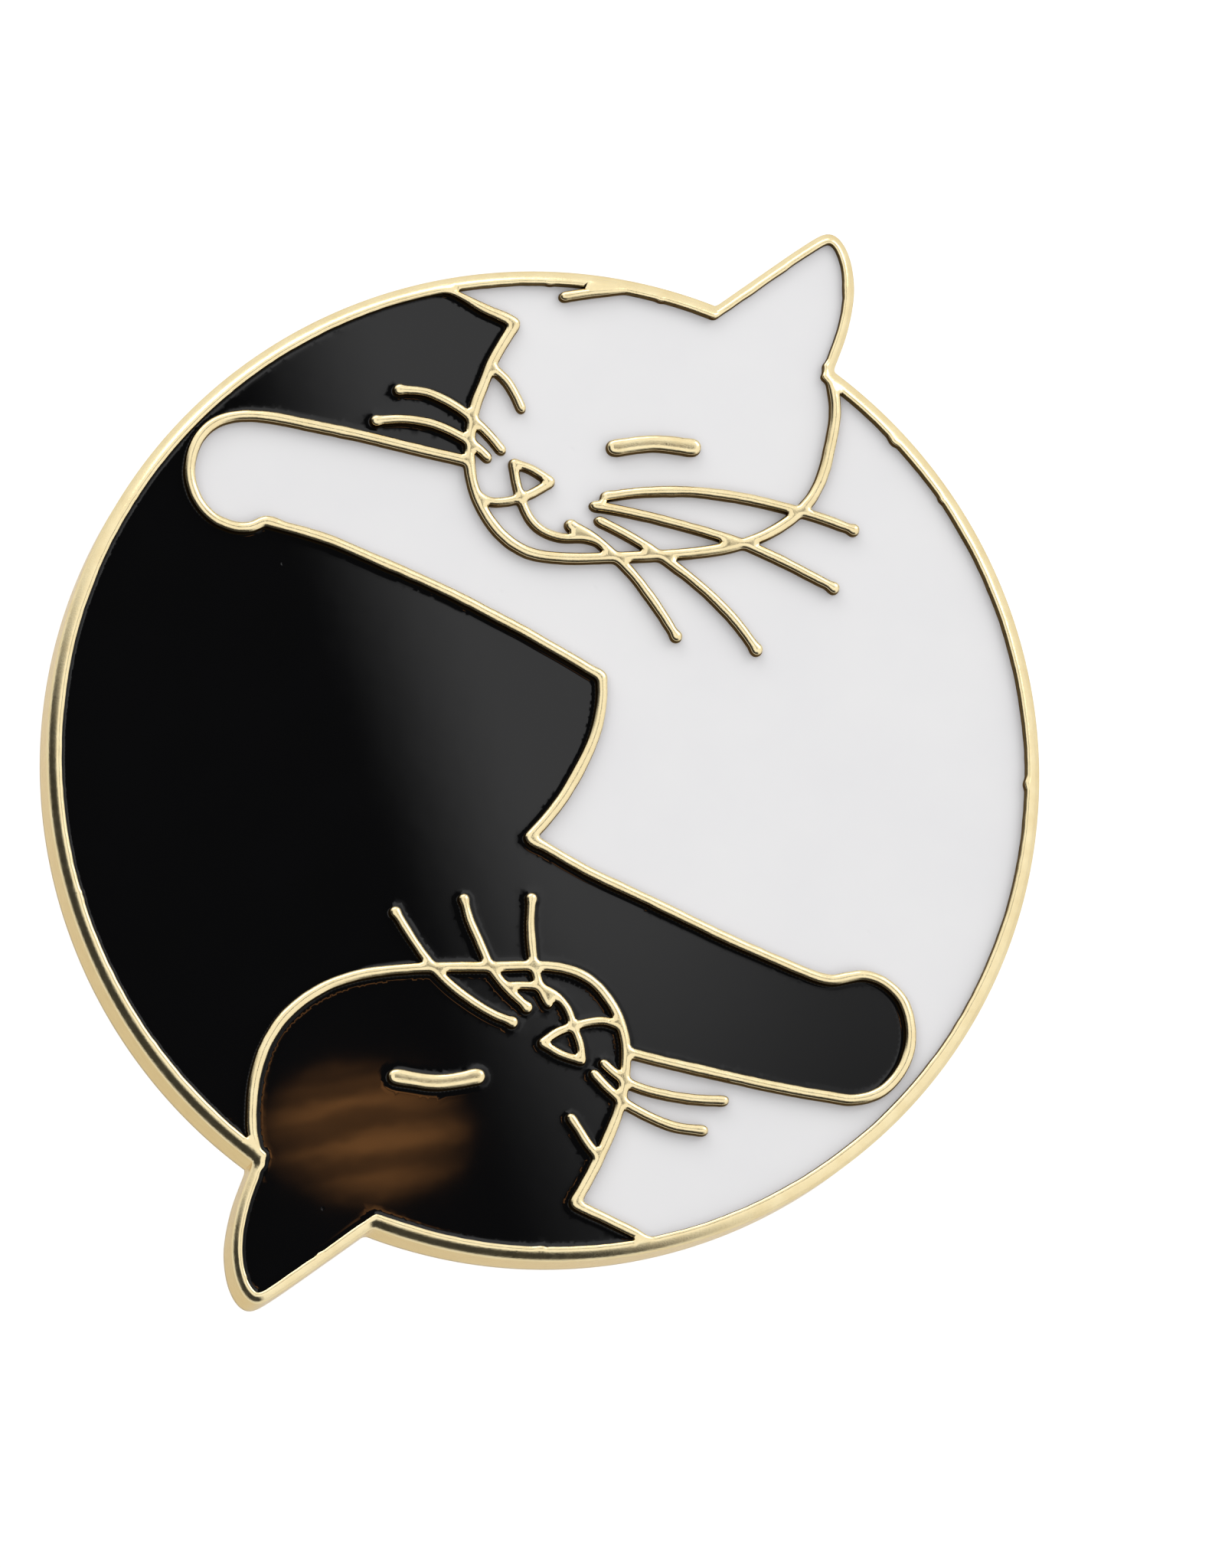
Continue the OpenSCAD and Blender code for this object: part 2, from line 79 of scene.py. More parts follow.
# ---- Raised lines ----
STEP = 0.06            # spacing of the points along an edge
CORNER = 38.0          # a sharper turn than this, in degrees, stays a corner
WAVE, WAVE_OFTEN = 0.016, 0.8            # an uneven edge's slow waves: how deep, and how often
RIPPLE, RIPPLE_OFTEN = 0.009, 3.1        # its fine ripple
NICK, NICK_OFTEN, NICK_RARE = 0.16, 2.3, 0.4   # its nicks, and how few they are
NICK_BAND = 0.75       # how near the disc's edge the nicks lie
WOBBLE_REACH = (0.02, 0.05, 0.1, 0.2, 0.3)   # how far ahead an uneven edge looks for another one
LINE_FOOT = 0.032      # how far a line's foot spreads into the enamel
SHOULDER_R = 0.2       # radius of the rounded edge above a line's steep side
SHOULDER_TILT = 50.0   # slope where that edge meets the side
CROWN = 0.012          # how much the top of a line is domed
CROWN_W = 0.26
LINE_RINGS = (0.032, 0.05, 0.075, 0.105, 0.14, 0.185)
RIM_R = 0.75           # radius of the rim's rounded crest
RIM_TILT = 56.0        # its slope at the outer edge
RIM_RINGS = (0.02, 0.06, 0.12, 0.19, 0.28)

# ---- Back ----
BACK_R = 0.12          # radius of the edge of the back
BACK_GRID = 0.42
BACK_BORDER = 1.0      # plain along the edge
BOSS_R = 2.6           # plain round each post
BACK_SINK = 0.05
PEBBLE, PEBBLE_OFTEN = 0.035, 1.3

# ---- Enamel ----
MENISCUS = 0.003       # how far the enamel climbs a line
MENISCUS_W = 0.03
ENAMEL_RINGS = (0.03, 0.07, 0.12, 0.19, 0.3, 0.46, 0.7)
ENAMEL_GRID = 0.55

# ---- Camera, lights and surroundings ----
CAMERA_AT = (-54.156, -58.365, 387.835)
CAMERA_AIM = (1.958, -0.664, 13.8)
CAMERA_ROLL = -1.31
CAMERA_LENS = 293.6
SENSOR = 36.0
FLOOR_AT = -10.5       # low enough for a clutch that has slid off its post
FLOOR_HALF = 3.0       # half its width, in metres
FLOOR_GLOW, FLOOR_GLOW_SHARE = 1.25, 0.6       # how much brighter the floor is to the camera
SOFTBOX_AIM = (0, 0, 0.01)
SOFTBOXES = {          # place and size in metres, and watts
    "softbox_right": ((0.35, 0.3, 0.35), (0.3, 0.3), 0.55),
    "softbox_back": ((-0.15, 0.55, 0.3), (0.5, 0.2), 0.55),
}

# ---- Sky: u and w are a direction's x / z and y / z, and a pair is where a soft step begins and ends ----
SKY_SEEN = 1.05                        # what the camera sees behind the pin
ZENITH_GAIN = 0.08                     # how much brighter it is straight up than at the horizon
OPEN_LEFT = (0.0, 0.07)                # u where the bright sky left of the dark gap ends
OPEN_NEAR, OPEN_FAR = (-0.02, 0.08), (0.24, 0.34)   # w where it ends and begins again
GAP_LEVEL = 0.055
GREY_BEGINS = (0.131, 0.145)           # u where the grey right of the gap begins
GREY_LEAN, GREY_LEAN_FROM = 0.3, 0.15  # how that edge leans, and the w where it doesn't
GREY_LEVEL, GREY_FALL, GREY_FALLS = 0.92, 0.4, (0.15, 0.172)
GREY_NEAR_SHARE, GREY_NEAR = 0.42, (0.115, 0.15)
GREY_ENDS = (0.21, 0.3)
DIM_SLOPE, DIM_SIDE, DIM_TOP, DIM_SHARE = -0.7, (0.1, 0.5), (0.6, 0.8), 0.96
PATCH_AT, PATCH_SPREAD = (0.1296, 0.1262), (105.0, 155.0)
PATCH_COLOUR = (3.05, 1.28, 0.37)
STREAKS, STREAK_SLOPE, STREAK_SHARE = (45.0, 600.0), 0.2, 0.7


# ======== Flat geometry ========

def face_loops(node, height, upward=True):
    """Edges of a CAD node's flat face at a height, as closed lists of points with the face on their left."""
    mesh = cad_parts[node].data
    co = np.array([v.co for v in mesh.vertices]) / MM
    keys, index = {}, []
    for p in co:
        index.append(keys.setdefault(tuple(np.round(p, 5)), len(keys)))
    points = list(keys)
    edges = set()
    for f in mesh.polygons:
        ring = [index[v] for v in f.vertices]
        if all(abs(points[i][2] - height) < 0.003 for i in ring) and f.normal.z * (1 if upward else -1) > 0.5:
            edges.update(zip(ring, ring[1:] + ring[:1]))
    after = {}
    for a, b in edges:
        if (b, a) not in edges:
            after.setdefault(a, []).append(b)
    loops = []
    while after:
        first = min(after)
        loop, here = [first], first
        while True:
            there = after[here].pop()
            if not after[here]:
                del after[here]
            if there == first:
                break
            loop.append(there)
            here = there
        loops.append(np.array([points[i][:2] for i in loop]))
    if not upward:
        loops = [loop[::-1] for loop in loops]
    return [loop for loop in loops if len(loop) > 2 and abs(area(loop)) > 0.004]


def area(loop):
    """Area inside a loop, below zero when it runs clockwise."""
    x, y = loop[:, 0], loop[:, 1]
    return 0.5 * float(np.sum(x * np.roll(y, -1) - np.roll(x, -1) * y))


def without_short(loop, least):
    """The loop without points nearer than that to the one before."""
    kept = [loop[0]]
    for p in loop[1:]:
        if np.linalg.norm(p - kept[-1]) >= least:
            kept.append(p)
    while len(kept) > 3 and np.linalg.norm(kept[0] - kept[-1]) < least:
        kept.pop()
    return np.array(kept)


def turn_angle(a, b):
    return math.atan2(a[0] * b[1] - a[1] * b[0], a[0] * b[0] + a[1] * b[1])


def rotated(d, angle):
    c, s = math.cos(angle), math.sin(angle)
    return np.array([d[0] * c - d[1] * s, d[0] * s + d[1] * c])


def smooth_loop(loop, step):
    """A curve through a loop's points that keeps its corners, with evenly spaced points."""
    fine = 0.02
    loop = without_short(loop, fine)
    n = len(loop)
    chord = np.roll(loop, -1, 0) - loop
    length = np.linalg.norm(chord, axis=1)
    unit = chord / length[:, None]
    leave, arrive = [None] * n, [None] * n
    for i in range(n):
        turn = turn_angle(unit[i - 1], unit[i])
        if abs(math.degrees(turn)) > CORNER:
            leave[i], arrive[i] = unit[i], unit[i - 1]
        else:
            share = length[i - 1] / (length[i - 1] + length[i])
            leave[i] = arrive[i] = rotated(unit[i - 1], turn * share)
    dense = []
    for i in range(n):
        j = (i + 1) % n
        m0, m1 = leave[i] * length[i], arrive[j] * length[i]
        count = max(1, int(math.ceil(length[i] / fine)))
        for k in range(count):
            t = k / count
            dense.append(
                (2 * t ** 3 - 3 * t ** 2 + 1) * loop[i] + (t ** 3 - 2 * t ** 2 + t) * m0
                + (3 * t ** 2 - 2 * t ** 3) * loop[j] + (t ** 3 - t ** 2) * m1
            )
    return respaced(np.array(dense), step)


def respaced(loop, step):
    """The loop with evenly spaced points."""
    closed = np.vstack([loop, loop[:1]])
    run = np.concatenate([[0], np.cumsum(np.linalg.norm(np.diff(closed, axis=0), axis=1))])
    count = max(6, int(round(run[-1] / step)))
    at = np.linspace(0, run[-1], count, endpoint=False)
    return np.stack([np.interp(at, run, closed[:, 0]), np.interp(at, run, closed[:, 1])], 1)


def relaxed(loop, passes):
    for _ in range(passes):
        loop = 0.25 * np.roll(loop, 1, 0) + 0.5 * loop + 0.25 * np.roll(loop, -1, 0)
    return loop


def left_normals(loop):
    d = np.roll(loop, -1, 0) - np.roll(loop, 1, 0)
    d /= np.maximum(np.linalg.norm(d, axis=1), 1e-9)[:, None]
    return np.stack([-d[:, 1], d[:, 0]], 1)


class Distance:
    """Distance to a set of closed loops."""

    def __init__(self, loops):
        self.points = np.vstack(loops)
        self.before = np.vstack([np.roll(loop, 1, 0) for loop in loops])
        self.after = np.vstack([np.roll(loop, -1, 0) for loop in loops])
        self.tree = KDTree(len(self.points))
        for i, (x, y) in enumerate(self.points):
            self.tree.insert((x, y, 0), i)
        self.tree.balance()

    def __call__(self, queries):
        near = [self.tree.find((x, y, 0))[1] for x, y in queries]
        p = self.points[near]
        best = np.full(len(queries), 1e9)
        for other in (self.before[near], self.after[near]):
            d = other - p
            t = np.clip(np.sum((queries - p) * d, 1) / np.maximum(np.sum(d * d, 1), 1e-12), 0, 1)
            best = np.minimum(best, np.linalg.norm(queries - p - d * t[:, None], axis=1))
        return best


def offset_loop(loop, amount, distance):
    """A loop moved to its left, without the points that come too near another part of it."""
    moved = loop + left_normals(loop) * amount
    kept = distance(moved) >= 0.93 * abs(amount)
    return without_short(moved[kept], 0.012)


def thinned(points, least):
    """The points that are at least that far from the ones before them."""
    grid, kept = {}, []
    for p in points:
        cx, cy = int(p[0] // least), int(p[1] // least)
        near = (q for i in (-1, 0, 1) for j in (-1, 0, 1) for q in grid.get((cx + i, cy + j), ()))
        if all((q[0] - p[0]) ** 2 + (q[1] - p[1]) ** 2 >= least ** 2 for q in near):
            grid.setdefault((cx, cy), []).append(p)
            kept.append(p)
    return kept


def triangulate(loops, extra):
    """Triangles between closed loops, through extra points.

    Returns points, triangles, how many loops hold each one, and each loop's own points.
    """
    points = np.vstack(list(loops) + ([np.array(extra)] if len(extra) else []))
    faces, start, spans = [], 0, []
    for loop in loops:
        ring = list(range(start, start + len(loop)))
        spans.append(ring)
        faces.append(ring if area(loop) > 0 else ring[::-1])
        start += len(loop)
    out, _, tris, source, _, held = delaunay_2d_cdt([Vector(p) for p in points], [], faces, 0, 1e-7)
    where = {}
    for i, names in enumerate(source):
        for name in names:
            where.setdefault(name, i)
    flat = np.array([(p[0], p[1]) for p in out])
    own = [[where[i] for i in ring] for ring in spans]
    return flat, [tuple(t) for t in tris], [len(h) for h in held], own


def flat_noise(x, y, often, seed):
    return noise.noise(Vector((x * often, y * often, seed)))


# ======== Meshes ========

def strip(row, other):
    """Faces between two closed rows of points."""
    n = len(row)
    return [(row[k], row[(k + 1) % n], other[(k + 1) % n], other[k]) for k in range(n)]


def make_piece(name, points, faces, materials, body, nodes, sharp=40.0, face_material=None):
    """A piece made of points in mm, with outward faces, that rides on a body and stands for CAD nodes."""
    mesh = bpy.data.meshes.new(name)
    mesh.from_pydata([Vector(p) * MM for p in points], [], faces)
    for m in materials:
        mesh.materials.append(m)
    if face_material is not None:
        mesh.polygons.foreach_set("material_index", face_material)
    bm = bmesh.new()
    bm.from_mesh(mesh)
    bmesh.ops.recalc_face_normals(bm, faces=bm.faces)
    bm.to_mesh(mesh)
    bm.free()
    mesh.polygons.foreach_set("use_smooth", [True] * len(mesh.polygons))
    mesh.set_sharp_from_angle(angle=math.radians(sharp))
    obj = bpy.data.objects.new(name, mesh)
    bpy.context.scene.collection.objects.link(obj)
    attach(obj, body)
    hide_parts(*nodes)
    return obj


class Solid:
    """Points and faces of a piece while it is put together from closed shapes."""

    def __init__(self):
        self.points, self.faces = [], []

    def add(self, points, faces, place):
        start = len(self.points)
        self.points += [tuple(place(tuple(p))) for p in points]
        self.faces += [tuple(i + start for i in f) for f in faces]

    def lathe(self, profile, segments, place):
        """A closed profile of (radius, height) turned round the axis. Points on the axis become one."""
        turns = [2 * math.pi * k / segments for k in range(segments)]
        points, rows = [], []
        for r, z in profile:
            if r < 1e-6:
                rows.append([len(points)] * segments)
                points.append((0.0, 0.0, z))
            else:
                rows.append(list(range(len(points), len(points) + segments)))
                points += [(r * math.cos(turn), r * math.sin(turn), z) for turn in turns]
        faces = []
        for a, b in zip(rows, rows[1:] + rows[:1]):
            for k in range(segments):
                j = (k + 1) % segments
                ring = tuple(dict.fromkeys((a[k], a[j], b[j], b[k])))
                if len(ring) > 2:
                    faces.append(ring)
        self.add(points, faces, place)

    def prism(self, loops, low, high, bevel, place):
        """A flat outline with holes, given thickness, its edges bevelled."""
        loops = [np.array(loop, float) for loop in loops]
        levels = [(low, bevel), (low + 0.3 * bevel, 0.3 * bevel), (low + bevel, 0),
                  (high - bevel, 0), (high - 0.3 * bevel, 0.3 * bevel), (high, bevel)]
        inner = [loop + mitres(loop) * bevel for loop in loops]
        _, tris, held, spans = triangulate(inner, [])
        tris = [t for t, h in zip(tris, held) if h % 2 == 1]
        points, rows = [], []
        for z, inset in levels:
            rows.append(len(points))
            for loop in loops:
                points += [(x, y, z) for x, y in loop + mitres(loop) * inset]
        faces = []
        for a, b in zip(rows, rows[1:]):
            start = 0
            for loop in loops:
                end = start + len(loop)
                faces += strip(range(a + start, a + end), range(b + start, b + end))
                start = end
        number = {v: i for i, v in enumerate(v for ring in spans for v in ring)}
        for row, step in ((rows[0], -1), (rows[-1], 1)):
            faces += [tuple(row + number[i] for i in t[::step]) for t in tris]
        self.add(points, faces, place)

    def loft(self, rings, place):
        """Rings of equal size joined into a tube, closed at both ends."""
        n = len(rings[0])
        points = [p for ring in rings for p in ring]
        faces = []
        rows = [range(k * n, (k + 1) * n) for k in range(len(rings))]
        for a, b in zip(rows, rows[1:]):
            faces += strip(a, b)
        faces += [tuple(rows[0]), tuple(rows[-1])]
        self.add(points, faces, place)


def mitres(loop):
    """At each point, the move that shifts both neighbouring edges one unit to the left."""
    d = np.roll(loop, -1, 0) - loop
    d /= np.maximum(np.linalg.norm(d, axis=1), 1e-9)[:, None]
    n = np.stack([-d[:, 1], d[:, 0]], 1)
    both = n + np.roll(n, 1, 0)
    return both * (2 / np.maximum(np.sum(both * both, 1), 0.6))[:, None]


def rounded(profile, radius, steps):
    """A closed profile with its corners rounded, except those on the axis."""
    out, n = [], len(profile)
    for i, here in enumerate(profile):
        here = np.array(here, float)
        a = np.array(profile[i - 1], float) - here
        b = np.array(profile[(i + 1) % n], float) - here
        la, lb = np.linalg.norm(a), np.linalg.norm(b)
        if here[0] < 1e-6 or la < 1e-6 or lb < 1e-6:
            out.append(tuple(here))
            continue
        cut = min(radius, 0.45 * la, 0.45 * lb)
        p, q = here + a / la * cut, here + b / lb * cut
        for k in range(steps + 1):
            t = k / steps
            out.append(tuple((1 - t) ** 2 * p + 2 * t * (1 - t) * here + t ** 2 * q))
    return out


def hole(x, y, r, count):
    """A circle that runs clockwise, as the edge of a hole."""
    turns = [2 * math.pi * k / count for k in range(count)]
    return [(x + r * math.cos(turn), y - r * math.sin(turn)) for turn in turns]


def arc(x, y, r, start, end, count):
    turns = [math.radians(start + (end - start) * k / count) for k in range(count + 1)]
    return [(x + r * math.cos(turn), y + r * math.sin(turn)) for turn in turns]


def moved_by(x, z):
    return lambda p: (p[0] + x, p[1], p[2] + z)


# ======== Materials ========

def new_material(name):
    material = bpy.data.materials.new(name)
    material.use_nodes = True
    tree = material.node_tree
    return material, tree.nodes, tree.links, tree.nodes["Principled BSDF"]


def object_coordinates(nodes, links, scale=(1, 1, 1)):
    """Coordinates in mm, stretched by scale."""
    source = nodes.new("ShaderNodeTexCoord")
    mapping = nodes.new("ShaderNodeMapping")
    mapping.inputs["Scale"].default_value = [s / MM for s in scale]
    links.new(source.outputs["Object"], mapping.inputs["Vector"])
    return mapping.outputs["Vector"]


def noise_texture(nodes, links, vector, scale, detail=3.0, roughness=0.55):
    texture = nodes.new("ShaderNodeTexNoise")
    texture.inputs["Scale"].default_value = scale
    texture.inputs["Detail"].default_value = detail
    texture.inputs["Roughness"].default_value = roughness
    links.new(vector, texture.inputs["Vector"])
    return texture.outputs["Fac"]


def ranged(nodes, links, value, low, high, from_low=0.3, from_high=0.7):
    remap = nodes.new("ShaderNodeMapRange")
    remap.inputs["From Min"].default_value = from_low
    remap.inputs["From Max"].default_value = from_high
    remap.inputs["To Min"].default_value = low
    remap.inputs["To Max"].default_value = high
    links.new(value, remap.inputs["Value"])
    return remap.outputs["Result"]


def mixed(nodes, links, value, first, second):
    mix = nodes.new("ShaderNodeMix")
    mix.data_type = "RGBA"
    mix.inputs["A"].default_value = (*first, 1)
    mix.inputs["B"].default_value = (*second, 1)
    links.new(value, mix.inputs["Factor"])
    return mix.outputs["Result"]


def bumped(nodes, links, height, strength, distance_mm, under=None):
    bump = nodes.new("ShaderNodeBump")
    bump.inputs["Strength"].default_value = strength
    bump.inputs["Distance"].default_value = distance_mm * MM
    links.new(height, bump.inputs["Height"])
    if under is not None:
        links.new(under, bump.inputs["Normal"])
    return bump.outputs["Normal"]


def metal(name, light, dark, smooth, rough, grain=22.0, grain_depth=0.006, scratch_depth=0.002,
          scratch=(2.0, 40.0, 40.0)):
    """Plated metal: mottled colour, uneven polish, a fine grain and hairline scratches."""
    material, nodes, links, shader = new_material(name)
    plain = object_coordinates(nodes, links)
    drawn = object_coordinates(nodes, links, scratch)
    tone = noise_texture(nodes, links, plain, 1.6, 4.0)
    links.new(mixed(nodes, links, ranged(nodes, links, tone, 0, 1), dark, light), shader.inputs["Base Color"])
    polish = noise_texture(nodes, links, plain, 5.0, 5.0, 0.65)
    links.new(ranged(nodes, links, polish, smooth, rough), shader.inputs["Roughness"])
    shader.inputs["Metallic"].default_value = 1.0
    shader.inputs["Specular Tint"].default_value = (0.93, 0.8, 0.55, 1)
    fine = noise_texture(nodes, links, plain, grain, 2.0)
    lines = noise_texture(nodes, links, drawn, 1.0, 1.0)
    under = bumped(nodes, links, fine, 0.35, grain_depth)
    links.new(bumped(nodes, links, lines, 0.3, scratch_depth, under), shader.inputs["Normal"])
    return material


def enamel(name, light, dark, roughness):
    """Baked enamel: an even colour, a glossy skin with a slight orange peel and a few pinholes."""
    material, nodes, links, shader = new_material(name)
    plain = object_coordinates(nodes, links)
    tone = noise_texture(nodes, links, plain, 0.35, 3.0)
    links.new(mixed(nodes, links, ranged(nodes, links, tone, 0, 1), dark, light), shader.inputs["Base Color"])
    haze = noise_texture(nodes, links, plain, 0.8, 4.0, 0.6)
    links.new(ranged(nodes, links, haze, roughness * 0.85, roughness * 1.15), shader.inputs["Roughness"])
    shader.inputs["IOR"].default_value = 1.5
    peel = noise_texture(nodes, links, plain, 0.9, 1.0)
    under = bumped(nodes, links, peel, 0.1, 0.0012)
    pits = nodes.new("ShaderNodeTexVoronoi")
    pits.inputs["Scale"].default_value = 0.3
    pits.inputs["Randomness"].default_value = 1.0
    links.new(plain, pits.inputs["Vector"])
    hole = ranged(nodes, links, pits.outputs["Distance"], 0, 1, 0.012, 0.03)
    links.new(bumped(nodes, links, hole, 0.25, 0.01, under), shader.inputs["Normal"])
    return material


GOLD = metal("pale_gold_plating", (0.93, 0.795, 0.49), (0.86, 0.71, 0.41), 0.1, 0.22)
# The steep walls of the raised lines get a near-black brown colour: painted shade, standing in for the dark
# reflections on those walls. It is not the metal's own colour. Only the higher roughness is a real duller
# finish.
PAINTED_SHADE_WALL_METAL = metal("wall_metal_with_painted_shade", (0.085, 0.042, 0.018), (0.05, 0.024, 0.01), 0.28, 0.42)
GOLD_BACK = metal("pale_gold_back", (0.9, 0.78, 0.5), (0.84, 0.71, 0.43), 0.28, 0.42, 9.0, 0.03, 0.003)
GOLD_SHEET = metal("gold_pressed_sheet", (0.92, 0.77, 0.45), (0.86, 0.7, 0.38), 0.14, 0.26,
                   14.0, 0.004, 0.004, (3.0, 30.0, 30.0))
GOLD_POST = metal("gold_drawn_wire", (0.92, 0.79, 0.49), (0.87, 0.73, 0.43), 0.14, 0.24, 18.0, 0.003, 0.004,
                  (30.0, 30.0, 1.5))
SOLDER = metal("plated_solder", (0.8, 0.74, 0.58), (0.7, 0.63, 0.48), 0.24, 0.42, 7.0, 0.02, 0.002)
STEEL = metal("spring_steel", (0.66, 0.66, 0.68), (0.56, 0.56, 0.59), 0.16, 0.3, 20.0, 0.002, 0.005,
              (40.0, 2.0, 40.0))
WHITE = enamel("white_enamel", (0.83, 0.825, 0.83), (0.81, 0.805, 0.815), 0.13)
BLACK = enamel("black_enamel", (0.0012, 0.0012, 0.0015), (0.0009, 0.0009, 0.0011), 0.014)
ENAMELS = {"white": WHITE, "black": BLACK}
PLATE_METALS = [GOLD, GOLD_BACK, PAINTED_SHADE_WALL_METAL]
FRONT, BACK, WALL = range(len(PLATE_METALS))


# ======== The face: edges of the cells ========

def wobbled(loop, seed, distance):
    """The uneven edge of a struck line: slow waves, a fine ripple, and nicks along the rim.

    It keeps still where another edge is near, as in a notch.
    """
    normals = left_normals(loop)
    room = np.min([distance(loop + normals * reach) / reach for reach in WOBBLE_REACH], axis=0)
    moved = []
    for p, n, share in zip(loop, normals, np.clip(2 * room - 1, 0, 1)):
        slow = flat_noise(p[0], p[1], WAVE_OFTEN, seed)
        fast = flat_noise(p[0], p[1], RIPPLE_OFTEN, seed + 40)
        shift = WAVE * slow + RIPPLE * fast
        if math.hypot(*p) > DISC_R - NICK_BAND:
            nick = flat_noise(p[0], p[1], NICK_OFTEN, seed + 80)
            shift += NICK * max(0.0, nick - NICK_RARE)
        moved.append(p + n * shift * share)
    return np.array(moved)


def cell_edges(node, seed):
    """The edges of a cell of enamel, at the foot of the lines round it."""
    loops = face_loops(node, ENAMEL_Z)
    fine = [relaxed(smooth_loop(loop, STEP), 2) for loop in loops]
    still = Distance(fine)
    fine = [wobbled(loop, seed + i, still) for i, loop in enumerate(fine)]
    near = Distance(fine)
    return [respaced(offset_loop(loop, LINE_FOOT, near), STEP) for loop in fine]


edges_of = {node: cell_edges(node, 10.0 * i) for i, node in enumerate(CELLS)}
all_edges = [loop for node in CELLS for loop in edges_of[node]]
to_cell = Distance(all_edges)

outline = max(face_loops("metal_plate", BACK_Z, upward=False), key=area)
outline = relaxed(smooth_loop(outline, 0.1), 1)
radius = np.linalg.norm(outline, axis=1)
on_disc = np.abs(radius - DISC_R) < 0.03
outline[on_disc] *= (DISC_R / radius[on_disc])[:, None]
to_outline = Distance([outline])


def line_drop(from_cell):
    """How far the metal lies below the face, at a distance from the nearest cell."""
    reach = SHOULDER_R * math.sin(math.radians(SHOULDER_TILT))
    side = np.clip(reach + LINE_FOOT - from_cell, 0, reach)
    edge = SHOULDER_R - np.sqrt(SHOULDER_R ** 2 - side ** 2)
    edge = edge + CROWN * np.clip(1 - from_cell / CROWN_W, 0, 1) ** 2
    steep = np.clip(1 - from_cell / LINE_FOOT, 0, 1)
    return edge + (FACE_Z - ENAMEL_Z - FACE_GAP - edge) * steep


def rim_drop(from_outline):
    """How far the rim's crest lies below the face, at a distance from the outline."""
    inside = np.clip(RIM_R * math.sin(math.radians(RIM_TILT)) - from_outline, 0, RIM_R)
    return RIM_R - np.sqrt(RIM_R ** 2 - inside ** 2)


def metal_points():
    """Points of the metal's top between the edges, in rings that follow them."""
    found = []
    for ring in LINE_RINGS:
        moved = np.vstack([loop - left_normals(loop) * ring for loop in all_edges])
        moved = moved[to_cell(moved) >= 0.95 * ring - 0.001]
        found.append(moved[to_outline(moved) > 0.012])
    for ring in RIM_RINGS:
        moved = outline + left_normals(outline) * ring
        moved = moved[to_outline(moved) >= 0.95 * ring]
        found.append(moved[to_cell(moved) > 0.16])
    return thinned(np.vstack(found), 0.0155)


def build_plate():
    """The plate: its top as one height field, its pockets, its outer side and its back."""
    flat, tris, held, spans = triangulate([outline] + all_edges, metal_points())
    from_cell, from_outline = to_cell(flat), to_outline(flat)
    height = FACE_Z - line_drop(from_cell) - rim_drop(from_outline)
    points = [(x, y, z) for (x, y), z in zip(flat, height)]
    faces = [t for t, h in zip(tris, held) if h % 2 == 1]
    # Faces at the foot of a line, and the hidden pockets, take the wall metal, whose dark colour is painted
    # shade.
    kind = [WALL if from_cell[list(t)].max() < LINE_FOOT + 0.004 else FRONT for t in faces]
    deep = {}
    for ring in spans[1:]:
        for i in ring:
            deep[i] = len(points)
            points.append((flat[i][0], flat[i][1], FLOOR_Z))
    pockets = [tuple(deep[i] for i in t) for t, h in zip(tris, held)
               if h and h % 2 == 0 and all(i in deep for i in t)]
    for ring in spans[1:]:
        pockets += strip(ring, [deep[i] for i in ring])
    faces += pockets
    kind += [WALL] * len(pockets)
    row = spans[0]
    for inset, z in side_levels():
        above, row = row, list(range(len(points), len(points) + len(outline)))
        points += [(x, y, z) for x, y in outline + left_normals(outline) * inset]
        faces += strip(above, row)
        kind += [FRONT] * len(row)
    back = back_faces(points, row)
    faces += back
    kind += [BACK] * len(back)
    make_piece("plate", points, faces, PLATE_METALS, "pin", ["metal_plate"], 42, kind)


def side_levels():
    """How far in from the outline the plate's outer side lies, and at which height, from above."""
    top, low = FACE_Z - float(rim_drop(0.0)), BACK_Z + BACK_R
    return [(0, top - 0.03), (0, top - 0.3), (0, (top + BACK_Z) / 2), (0, low + 0.3), (0, low),
            (BACK_R * 0.3, BACK_Z + BACK_R * 0.3), (BACK_R, BACK_Z)]


def back_faces(points, row):
    """Faces of the back inside a row of points. The points of its pebbled grain are added."""
    edge = outline + left_normals(outline) * BACK_R
    span = np.arange(-DISC_R - 3, DISC_R + 3, BACK_GRID)
    grid = np.array([(x + BACK_GRID / 2 * (j % 2), y) for j, y in enumerate(span) for x in span])
    grid = grid[[inside_loop(p, edge) for p in grid]]
    grid = grid[to_outline(grid) > BACK_R + 0.2]
    flat, tris, held, rings = triangulate([edge], grid)
    number = dict(zip(rings[0], row))
    for i, (x, y) in enumerate(flat):
        if i not in number:
            number[i] = len(points)
            points.append((x, y, BACK_Z + back_relief(x, y)))
    return [tuple(number[i] for i in t[::-1]) for t, h in zip(tris, held) if h == 1]


def inside_loop(p, loop):
    x, y = p
    x0, y0 = loop[:, 0], loop[:, 1]
    x1, y1 = np.roll(x0, -1), np.roll(y0, -1)
    crossing = (y0 > y) != (y1 > y)
    with np.errstate(divide="ignore", invalid="ignore"):
        at = x0 + (y - y0) * (x1 - x0) / (y1 - y0)
    return bool(np.sum(crossing & (at > x)) % 2)


def back_relief(x, y):
    """Height of the back above its border: a slightly sunk field with pebbles."""
    edge = float(to_outline(np.array([(x, y)]))[0])
    post = min(math.hypot(x - side * POST_X, y) for side in SIDES.values())
    field = min(1.0, max(0.0, (edge - BACK_BORDER) / 0.4)) * min(1.0, max(0.0, (post - BOSS_R) / 0.4))
    pebble = 0.5 + 0.5 * flat_noise(x, y, PEBBLE_OFTEN, 5)
    return field * (BACK_SINK + PEBBLE * pebble)


